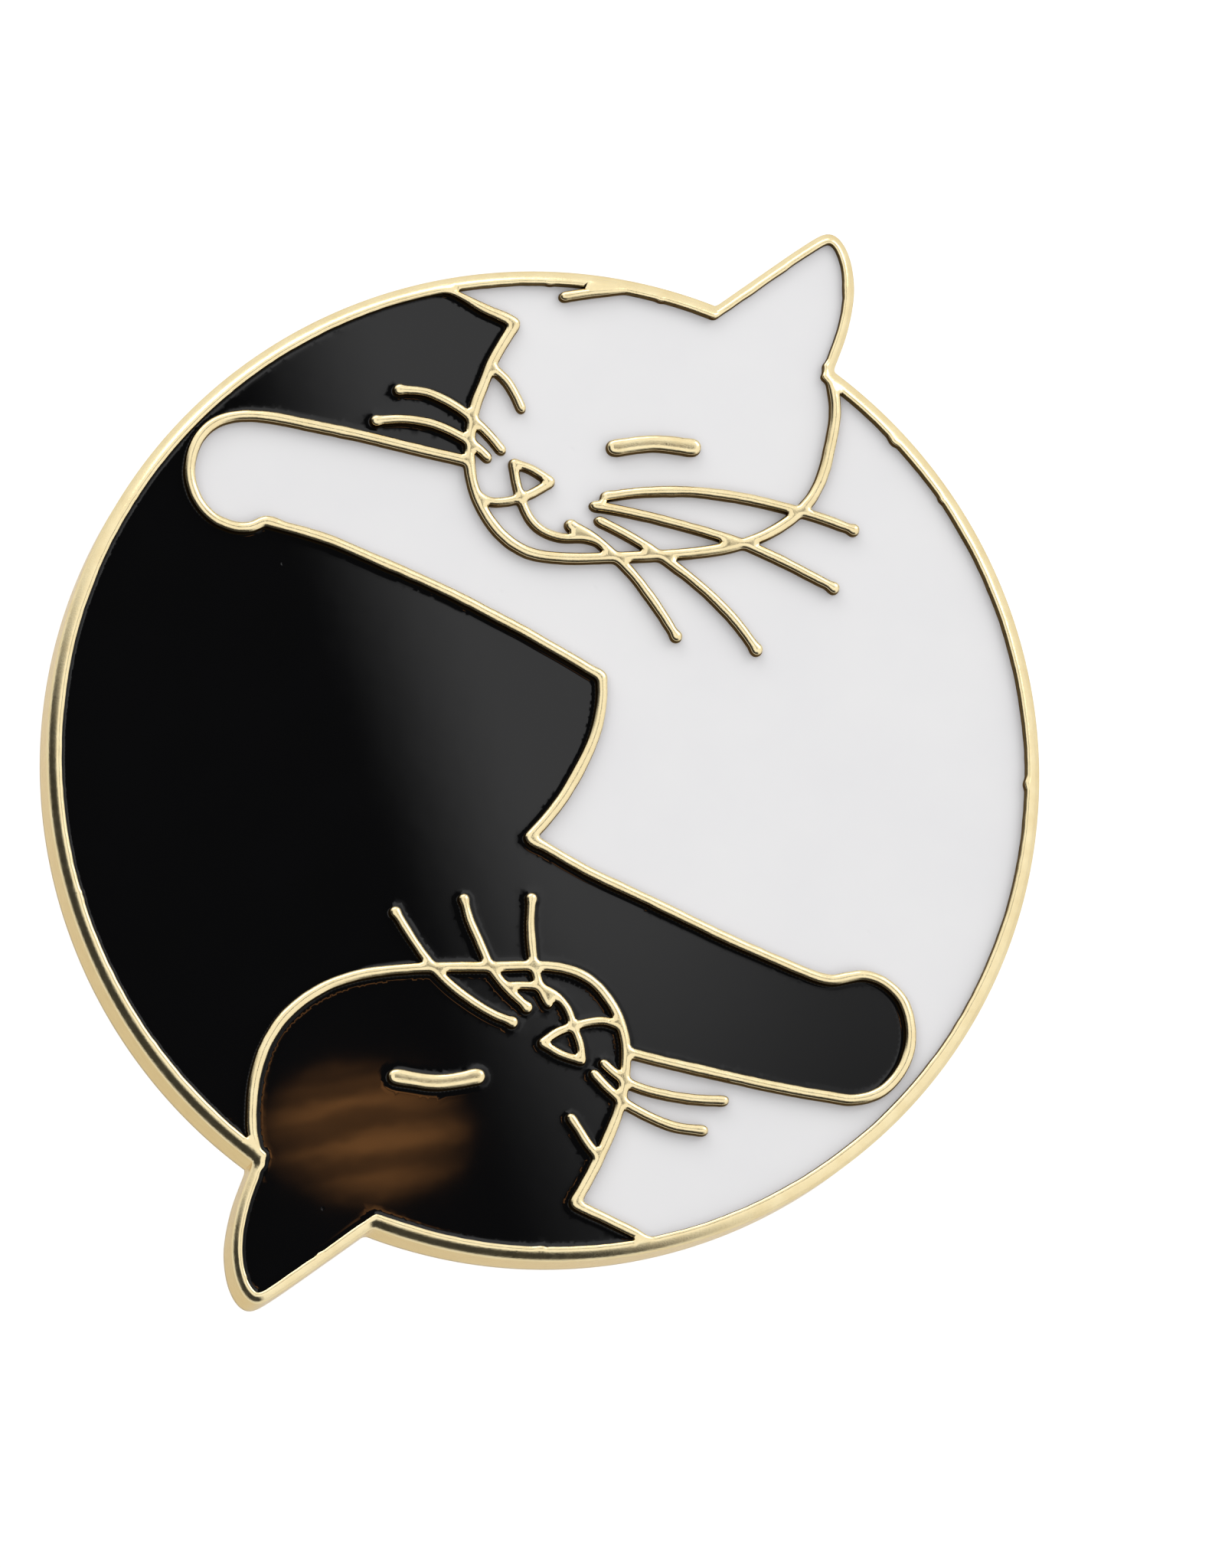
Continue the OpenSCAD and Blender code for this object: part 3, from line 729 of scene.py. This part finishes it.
def enamel_points(loops, near):
    """Points of the enamel's top: rings that follow its edges, and a grid in the middle."""
    found = []
    for ring in ENAMEL_RINGS:
        moved = np.vstack([loop + left_normals(loop) * ring for loop in loops])
        moved = moved[near(moved) >= 0.95 * ring]
        if len(moved):
            found.append(np.array(thinned(moved, min(0.05 + 0.55 * ring, 0.4))))
    low, high = np.vstack(loops).min(0), np.vstack(loops).max(0)
    grid = np.array([(x, y) for x in np.arange(low[0], high[0], ENAMEL_GRID)
                     for y in np.arange(low[1], high[1], ENAMEL_GRID)])
    found = np.vstack(found + [grid[near(grid) > ENAMEL_RINGS[-1] + 0.2]])
    return found[near(found) > 0.025]


def build_enamel(node):
    """The enamel of one cell, its top drawn up a little at the lines."""
    loops = edges_of[node]
    near = Distance(loops)
    flat, tris, held, spans = triangulate(loops, enamel_points(loops, near))
    height = ENAMEL_Z + MENISCUS * np.exp(-near(flat) / MENISCUS_W)
    points = [(x, y, z) for (x, y), z in zip(flat, height)]
    faces = [t for t, h in zip(tris, held) if h % 2 == 1]
    start = len(points)
    below, tris, held, under = triangulate(loops, [])
    points += [(x, y, FLOOR_Z + FACE_GAP) for x, y in below]
    faces += [tuple(start + i for i in t[::-1]) for t, h in zip(tris, held) if h % 2 == 1]
    for top, bottom in zip(spans, under):
        faces += strip(top, [start + i for i in bottom])
    used = sorted({i for f in faces for i in f})
    number = {i: k for k, i in enumerate(used)}
    points = [points[i] for i in used]
    faces = [tuple(number[i] for i in f) for f in faces]
    colour = node.split("_")[0]
    make_piece(node.replace("_enamel", "_fill"), points, faces, [ENAMELS[colour]], "pin",
               [node], 50)


build_plate()
for cell in CELLS:
    build_enamel(cell)


# ======== Posts, solder and clutches ========

SHAFT_R = 0.55
HEAD_R = 1.2
HEAD_T = 0.35
TIP_Z = -8.0            # the tip below the back of the plate
TIP_H = 1.1
GROOVE_R = 0.4
GROOVES = (-4.35, -6.45)


def groove_points(depth):
    """A round groove in the shaft, from below upwards."""
    bend = 0.35
    reach = math.sqrt(bend ** 2 - (GROOVE_R + bend - SHAFT_R) ** 2)
    start = math.degrees(math.asin(reach / bend))
    return [(GROOVE_R + bend - bend * math.cos(math.radians(a)), depth + bend * math.sin(math.radians(a)))
            for a in np.linspace(-start, start, 9)]


def build_post(side):
    shaft = [(0, TIP_Z), (0.06, TIP_Z + 0.01), (0.1, TIP_Z + 0.05), (0.5, TIP_Z + TIP_H - 0.06),
             (SHAFT_R, TIP_Z + TIP_H + 0.06)]
    for depth in sorted(GROOVES):
        shaft += groove_points(depth)
    shaft += [(SHAFT_R, -HEAD_T - 0.08), (SHAFT_R + 0.03, -HEAD_T - 0.02), (SHAFT_R + 0.09, -HEAD_T)]
    shaft += [(HEAD_R - 0.1, -HEAD_T), (HEAD_R - 0.03, -HEAD_T + 0.03), (HEAD_R, -HEAD_T + 0.1),
              (HEAD_R, 0), (0, 0)]
    solid = Solid()
    solid.lathe(shaft, 72, moved_by(SIDES[side] * POST_X, BACK_Z))
    make_piece(side + "_pin_post", solid.points, solid.faces, [GOLD_POST], "pin",
               [side + "_post"])


def build_solder(side):
    """A fillet of solder, a little wider on one side, that climbs the head."""
    count = 72
    x = SIDES[side] * POST_X
    section = [(0, 0.0), (0.5, 0.0), (0.4, -0.035), (0.26, -0.075), (0.14, -0.14), (0.06, -0.22),
               (0.02, -0.3), (0, -0.32)]
    points, faces = [], []
    for k in range(count):
        a = 2 * math.pi * k / count
        swell = 1 + 0.22 * flat_noise(math.cos(a), math.sin(a), 1.4, 3 + x)
        for out, z in section:
            r = HEAD_R + min(out * swell, 0.55)
            points.append((x + r * math.cos(a), r * math.sin(a), BACK_Z + z))
    n = len(section)
    rows = [range(k * n, (k + 1) * n) for k in range(count)]
    for row, after in zip(rows, rows[1:] + rows[:1]):
        faces += strip(row, after)
    make_piece(side + "_solder_fillet", points, faces, [SOLDER], "pin", [side + "_solder"], 60)


def build_dish(side):
    """The pressed cup of a clutch, with two shallow rings in its face and a rolled rim."""
    bore, r, t, h = 0.62, 5.7, 0.35, 1.15
    face = [(bore, -0.1), (bore + 0.1, 0)]
    for ring in (2.1, 3.6):
        face += [(ring - 0.22, 0), (ring - 0.1, -0.05), (ring + 0.1, -0.05), (ring + 0.22, 0)]
    outer = arc(r - 0.35, -0.35, 0.35, 90, 0, 8) + arc(r - 0.3, -h + 0.3, 0.3, 0, -90, 8)
    lip = [(4.62, -h), (4.5, -h + 0.03), (4.42, -h + 0.1), (4.4, -h + 0.18), (4.44, -h + 0.26),
           (4.54, -h + 0.3)]
    inner = [(r - t - 0.1, -h + 0.3), (r - t, -h + 0.4), (r - t, -t - 0.1), (r - t - 0.1, -t),
             (bore + 0.05, -t), (bore, -t + 0.05)]
    solid = Solid()
    solid.lathe(face + outer + lip + inner, 160, moved_by(SIDES[side] * POST_X, DISH_Z))
    make_piece(side + "_clutch_dish", solid.points, solid.faces, [GOLD_SHEET], side + "_clutch",
               [side + "_dish"], 35)


PIVOT_Y, PIVOT_H = 1.9, 2.3
LUG_R, LUG_IN, LUG_T = 0.62, 2.5, 0.35
INSERT_TOP, INSERT_T = 0.4, 0.4


def build_insert(side):
    """The turning plate of a clutch, with its two lugs bent down."""
    x = SIDES[side] * POST_X
    solid = Solid()
    under = -INSERT_TOP - INSERT_T
    disc = [(0.8, -INSERT_TOP), (5.1, -INSERT_TOP), (5.1, under), (3.9, under), (3.75, under + 0.06),
            (3.45, under + 0.06), (3.3, under), (0.8, under)]
    solid.lathe(rounded(disc, 0.06, 4), 160, moved_by(x, DISH_Z))
    foot, knee, top = PIVOT_Y + LUG_R + 0.3, PIVOT_Y + LUG_R, -INSERT_TOP - INSERT_T / 2
    lug = [(foot, top), (knee + 0.12, -1.05), (knee, -1.5)]
    lug += arc(PIVOT_Y, -PIVOT_H, LUG_R, 0, -90, 10) + arc(-PIVOT_Y, -PIVOT_H, LUG_R, -90, -180, 10)
    lug += [(-knee, -1.5), (-knee - 0.12, -1.05), (-foot, top)]
    holes = [hole(y, -PIVOT_H, 0.33, 28) for y in (-PIVOT_Y, PIVOT_Y)]
    for low in (-LUG_IN - LUG_T, LUG_IN):
        solid.prism([lug[::-1]] + holes, low, low + LUG_T, 0.05, lambda p: (p[2] + x, p[0], p[1] + DISH_Z))
    make_piece(side + "_clutch_turntable", solid.points, solid.faces, [GOLD_SHEET], side + "_turntable",
               [side + "_insert"], 40)


LEAF_R, LEAF_T, LEAF_W, LEAF_HALF = 4.1, 0.15, 2.2, 1.5


def build_spring(side):
    """The bowed leaf that presses the jaws shut, with its hole for the post."""
    x = SIDES[side] * POST_X
    top = -INSERT_TOP - INSERT_T - 0.02
    aside = 10          # rounded() leaves corners on the axis alone, so the leaf is rounded beside it
    half = LEAF_W / 2
    leaf_edge = [(aside - half, -LEAF_HALF), (aside + half, -LEAF_HALF), (aside + half, LEAF_HALF),
                 (aside - half, LEAF_HALF)]
    leaf_edge = respaced(np.array(rounded(leaf_edge, 0.3, 6)), 0.08) - (aside, 0)
    solid = Solid()

    def bow(p):
        across, along, up = p
        drop = LEAF_R - math.sqrt(LEAF_R ** 2 - along ** 2)
        return across + x, along, DISH_Z + top - drop + up

    solid.prism([leaf_edge, hole(0, 0, 0.8, 48)], -LEAF_T, 0.0, 0.03, bow)
    leaf = make_piece(side + "_clutch_leaf", solid.points, solid.faces, [STEEL], side + "_turntable",
                      [side + "_spring"], 45)
    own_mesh(leaf)


BARREL_R, BARREL_W, PIN_R = 0.45, 4.8, 0.3
WING_T, WING_W, WING_H = 0.4, 6.0, 6.3
JAW_TOP, JAW_T, JAW_W, JAW_GAP, JAW_HOLE_R = 1.3, 0.3, 2.0, 0.12, 0.58
EAR_PATH = [(1.95, -2.35), (2.3, -3.2), (2.85, -4.3), (3.1, -5.3), (3.42, -5.95), (3.64, -6.2)]
RIDGE_PITCH, RIDGE_H, RIDGE_HALF = 0.42, 0.045, 1.9
GRIP_FROM, GRIP_TO = 3.9, 5.75      # depths between which the ears are ridged


def curve_points(path, steps):
    """A Catmull-Rom curve through the points of a path."""
    p = [np.array(q, float) for q in path]
    p = [2 * p[0] - p[1]] + p + [2 * p[-1] - p[-2]]
    out = []
    for i in range(1, len(p) - 2):
        for k in range(steps):
            t = k / steps
            a, b, c, d = p[i - 1], p[i], p[i + 1], p[i + 2]
            out.append((2 * b + (c - a) * t + (2 * a - 5 * b + 4 * c - d) * t ** 2
                        + (3 * b - a - 3 * c + d) * t ** 3) / 2)
    return np.array(out + [p[-2]])


def ear_half_width(depth):
    """Half the width of a wing at a depth below the dish face: a neck, a shoulder, and the rounded ear."""
    neck, full = BARREL_W / 2 - 0.1, WING_W / 2
    shoulder, corner = PIVOT_H + LUG_R + 0.25, 1.2
    if depth < shoulder:
        return neck
    if depth < shoulder + 0.6:
        t = (depth - shoulder) / 0.6
        return neck + (full - neck) * math.sin(t * math.pi / 2) ** 0.7
    if depth < WING_H - corner:
        return full
    t = min(1.0, (depth - WING_H + corner) / corner)
    return full - corner + corner * math.sqrt(max(0.0, 1 - t * t))


def ear_section(half_w, half_t, wave):
    """A closed section of the ear: its ridged front, a round edge, its ridged back and a round edge."""
    flat = np.linspace(-(half_w - half_t), half_w - half_t, 21)
    bends = np.linspace(0, math.pi, 9)[1:-1]
    ridge = [wave * max(0.0, 1 - (abs(across) / RIDGE_HALF) ** 6) for across in flat]
    front = [(across, half_t + up) for across, up in zip(flat, ridge)]
    back = [(across, -half_t + up) for across, up in zip(flat, ridge)][::-1]
    right = [(half_w - half_t + half_t * math.sin(q), half_t * math.cos(q)) for q in bends]
    left = [(-half_w + half_t - half_t * math.sin(q), -half_t * math.cos(q)) for q in bends]
    return front + right + back + left


def ear_rings():
    """Sections of the ear, a curved sheet with grip ridges, from its root to its round tip."""
    path = curve_points(EAR_PATH, 9)
    run = np.concatenate([[0], np.cumsum(np.linalg.norm(np.diff(path, axis=0), axis=1))])
    along = np.linspace(0, run[-1], 61)
    ys, zs = np.interp(along, run, path[:, 0]), np.interp(along, run, path[:, 1])
    rings = []
    for k, (y, z) in enumerate(zip(ys, zs)):
        a, b = max(0, k - 1), min(len(ys) - 1, k + 1)
        ty, tz = ys[b] - ys[a], zs[b] - zs[a]
        size = math.hypot(ty, tz)
        ny, nz = -tz / size, ty / size
        left = run[-1] - along[k]
        half_t = WING_T / 2 * math.sqrt(max(0.03, 1 - (1 - min(1, left / 0.18)) ** 2))
        grip = min(1, max(0, (-z - GRIP_FROM) / 0.3)) * min(1, max(0, (GRIP_TO + z) / 0.3))
        wave = RIDGE_H * grip * math.sin(2 * math.pi * along[k] / RIDGE_PITCH)
        section = ear_section(ear_half_width(-z), half_t, wave)
        rings.append([(across, y + ny * up, z + nz * up) for across, up in section])
    return rings


def roll_profile():
    """The rolled edge of a wing and the pin that it turns on, as (radius, place along the pin)."""
    end, half = LUG_IN + LUG_T, BARREL_W / 2
    roll = [(0, -end), (PIN_R - 0.07, -end), (PIN_R - 0.02, -end + 0.02), (PIN_R, -end + 0.07),
            (PIN_R, -half - 0.02), (PIN_R + 0.02, -half), (BARREL_R - 0.07, -half),
            (BARREL_R - 0.02, -half + 0.02), (BARREL_R, -half + 0.07)]
    return roll + [(r, -z) for r, z in roll[::-1]]


def jaw_outline():
    """The jaw, with a half-round bite for the post."""
    bite = math.degrees(math.asin(JAW_GAP / 2 / JAW_HOLE_R))
    jaw = [(-JAW_W / 2, JAW_GAP / 2)] + arc(0, 0, JAW_HOLE_R, 180 - bite, bite, 22)
    return jaw + [(JAW_W / 2, JAW_GAP / 2), (JAW_W / 2, PIVOT_Y + 0.2), (-JAW_W / 2, PIVOT_Y + 0.2)]


def build_wing(side, letter, turn):
    """A wing: its ear, its rolled edge and pin, its jaw, and the web that carries the jaw."""
    x = SIDES[side] * POST_X
    solid = Solid()

    def place(p):
        return p[0] * turn + x, p[1] * turn, p[2] + DISH_Z

    solid.loft(ear_rings(), place)
    solid.lathe(roll_profile(), 56, lambda p: place((p[2], p[1] + PIVOT_Y, p[0] - PIVOT_H)))
    solid.prism([jaw_outline()], -JAW_TOP - JAW_T, -JAW_TOP, 0.03, place)
    half, near, far = JAW_W / 2, PIVOT_Y - 0.2, PIVOT_Y + 0.2
    web = [(-half, near), (half, near), (half, far), (-half, far)]
    solid.prism([web], -PIVOT_H, -JAW_TOP - JAW_T / 2, 0.03, place)
    node = side + "_wing_" + letter
    make_piece(node.replace("wing", "clutch_wing"), solid.points, solid.faces, [GOLD_SHEET], node,
               [node], 40)


for side in SIDES:
    build_post(side)
    build_solder(side)
    build_dish(side)
    build_insert(side)
    build_spring(side)
    build_wing(side, "a", 1)
    build_wing(side, "b", -1)


# ======== Floor, lights, surroundings and camera ========

def build_floor():
    """A plain pale floor, a little brighter to the camera than it is as a light."""
    mesh = bpy.data.meshes.new("floor")
    corner_signs = [(-1, -1), (1, -1), (1, 1), (-1, 1)]
    mesh.from_pydata([(a * FLOOR_HALF, b * FLOOR_HALF, FLOOR_AT * MM) for a, b in corner_signs], [],
                     [(0, 1, 2, 3)])
    floor = bpy.data.objects.new("floor", mesh)
    bpy.context.scene.collection.objects.link(floor)
    material, nodes, links, shader = new_material("pale_floor")
    shader.inputs["Base Color"].default_value = (0.9, 0.9, 0.9, 1)
    shader.inputs["Roughness"].default_value = 0.8
    shader.inputs["Specular IOR Level"].default_value = 0.2
    glow = nodes.new("ShaderNodeEmission")
    glow.inputs["Strength"].default_value = FLOOR_GLOW
    path = nodes.new("ShaderNodeLightPath")
    share = nodes.new("ShaderNodeMath")
    share.operation = "MULTIPLY"
    share.inputs[1].default_value = FLOOR_GLOW_SHARE
    links.new(path.outputs["Is Camera Ray"], share.inputs[0])
    mix = nodes.new("ShaderNodeMixShader")
    links.new(share.outputs[0], mix.inputs[0])
    links.new(shader.outputs[0], mix.inputs[1])
    links.new(glow.outputs[0], mix.inputs[2])
    links.new(mix.outputs[0], nodes["Material Output"].inputs["Surface"])
    mesh.materials.append(material)


class NodeMath:
    """Arithmetic with numbers and the outputs of shader nodes."""

    def __init__(self, nodes, links):
        self.nodes, self.links = nodes, links

    def work(self, kind, a, b):
        node = self.nodes.new("ShaderNodeMath")
        node.operation = kind
        for k, v in enumerate((a, b)):
            if isinstance(v, (int, float)):
                node.inputs[k].default_value = v
            else:
                self.links.new(v, node.inputs[k])
        return node.outputs[0]

    def plus(self, a, b):
        return self.work("ADD", a, b)

    def minus(self, a, b):
        return self.work("SUBTRACT", a, b)

    def times(self, a, b):
        return self.work("MULTIPLY", a, b)

    def over(self, a, b):
        return self.work("DIVIDE", a, b)

    def larger(self, a, b):
        return self.work("MAXIMUM", a, b)

    def rest(self, a):
        return self.minus(1.0, a)

    def step(self, value, ends):
        """A soft step from 0 to 1 between two values."""
        node = self.nodes.new("ShaderNodeMapRange")
        node.interpolation_type = "SMOOTHSTEP"
        node.inputs["From Min"].default_value, node.inputs["From Max"].default_value = ends
        self.links.new(value, node.inputs["Value"])
        return node.outputs["Result"]


def ceiling_level(do, z, u, w):
    """Brightness overhead: an open sky round a dark gap, with soft greys in the gap's right part."""
    lean = do.plus(u, do.times(do.minus(w, GREY_LEAN_FROM), GREY_LEAN))
    fall = do.minus(GREY_LEVEL, do.times(do.step(u, GREY_FALLS), GREY_FALL))
    near_share = do.plus(GREY_NEAR_SHARE, do.times(do.step(w, GREY_NEAR), 1 - GREY_NEAR_SHARE))
    grey = do.times(do.times(do.step(lean, GREY_BEGINS), fall), near_share)
    beyond = do.step(u, GREY_ENDS)
    grey = do.plus(do.times(grey, do.rest(beyond)), beyond)
    open_across = do.larger(do.step(w, OPEN_FAR), do.rest(do.step(w, OPEN_NEAR)))
    is_open = do.larger(do.rest(do.step(u, OPEN_LEFT)), open_across)
    sky = do.plus(do.times(z, ZENITH_GAIN), 1.0)
    return do.plus(do.times(is_open, sky), do.times(do.rest(is_open), do.plus(grey, GAP_LEVEL)))


def horizon_share(do, x, y, z):
    """What is left of the light near the horizon, which is dim towards the low left."""
    side = do.plus(do.times(x, DIM_SLOPE), do.times(y, DIM_SLOPE))
    dim = do.times(do.step(side, DIM_SIDE), do.rest(do.step(z, DIM_TOP)))
    return do.rest(do.times(dim, DIM_SHARE))


def warm_patch(do, u, w):
    """Strength of a small round warm patch with streaks, a little off straight up."""
    place = do.nodes.new("ShaderNodeCombineXYZ")
    do.links.new(do.times(u, STREAKS[0]), place.inputs[0])
    do.links.new(do.times(do.minus(w, do.times(u, STREAK_SLOPE)), STREAKS[1]), place.inputs[1])
    streaks = noise_texture(do.nodes, do.links, place.outputs[0], 1.0, roughness=0.5)
    streak = do.plus(do.times(do.step(streaks, (0.4, 0.6)), STREAK_SHARE), 1 - STREAK_SHARE)
    off = [do.times(do.minus(value, middle), spread)
           for value, middle, spread in zip((u, w), PATCH_AT, PATCH_SPREAD)]
    far = do.plus(do.times(off[0], off[0]), do.times(off[1], off[1]))
    return do.times(do.rest(do.step(far, (0.0, 1.0))), streak)


def build_world():
    """A white studio: bright overhead round a dark gap, dim towards the low left, with a warm patch."""
    world = bpy.data.worlds.new("studio")
    bpy.context.scene.world = world
    world.use_nodes = True
    nodes, links = world.node_tree.nodes, world.node_tree.links
    nodes.clear()
    do = NodeMath(nodes, links)
    split = nodes.new("ShaderNodeSeparateXYZ")
    links.new(nodes.new("ShaderNodeTexCoord").outputs["Generated"], split.inputs[0])
    x, y, z = split.outputs
    up = do.larger(z, 0.02)
    u, w = do.over(x, up), do.over(y, up)
    level = do.times(ceiling_level(do, z, u, w), horizon_share(do, x, y, z))
    grey = nodes.new("ShaderNodeCombineXYZ")
    for channel in grey.inputs:
        links.new(level, channel)
    amber = nodes.new("ShaderNodeVectorMath")
    amber.operation = "SCALE"
    amber.inputs[0].default_value = PATCH_COLOUR
    links.new(warm_patch(do, u, w), amber.inputs["Scale"])
    total = nodes.new("ShaderNodeVectorMath")
    total.operation = "ADD"
    links.new(grey.outputs[0], total.inputs[0])
    links.new(amber.outputs[0], total.inputs[1])
    seen = nodes.new("ShaderNodeBackground")
    seen.inputs["Color"].default_value = (1, 1, 1, 1)
    seen.inputs["Strength"].default_value = SKY_SEEN
    light = nodes.new("ShaderNodeBackground")
    links.new(total.outputs[0], light.inputs["Color"])
    mix = nodes.new("ShaderNodeMixShader")
    links.new(nodes.new("ShaderNodeLightPath").outputs["Is Camera Ray"], mix.inputs[0])
    links.new(light.outputs[0], mix.inputs[1])
    links.new(seen.outputs[0], mix.inputs[2])
    links.new(mix.outputs[0], nodes.new("ShaderNodeOutputWorld").inputs["Surface"])


def add_softbox(name, at, size, watts):
    data = bpy.data.lights.new(name, "AREA")
    data.shape = "RECTANGLE"
    data.size, data.size_y = size
    data.energy = watts
    lamp = bpy.data.objects.new(name, data)
    lamp.location = Vector(at)
    lamp.rotation_euler = (Vector(SOFTBOX_AIM) - Vector(at)).to_track_quat("-Z", "Y").to_euler()
    bpy.context.scene.collection.objects.link(lamp)


def build_camera():
    data = bpy.data.cameras.new("camera")
    data.lens = CAMERA_LENS
    data.sensor_width = SENSOR
    data.clip_start, data.clip_end = 0.01, 50
    camera = bpy.data.objects.new("camera", data)
    at, aim = Vector(CAMERA_AT) * MM, Vector(CAMERA_AIM) * MM
    forward = (aim - at).normalized()
    up = (Vector((0, 1, 0)) - forward * forward.y).normalized()
    right = forward.cross(up)
    roll = math.radians(CAMERA_ROLL)
    c, s = math.cos(roll), math.sin(roll)
    up, right = up * c - right * s, right * c + up * s
    turn = Matrix((right, up, -forward)).transposed()
    camera.matrix_world = Matrix.Translation(at) @ turn.to_4x4()
    bpy.context.scene.collection.objects.link(camera)
    bpy.context.scene.camera = camera


build_floor()
build_world()
for softbox, (at, size, watts) in SOFTBOXES.items():
    add_softbox(softbox, at, size, watts)
build_camera()
bpy.context.scene.view_settings.view_transform = "Standard"
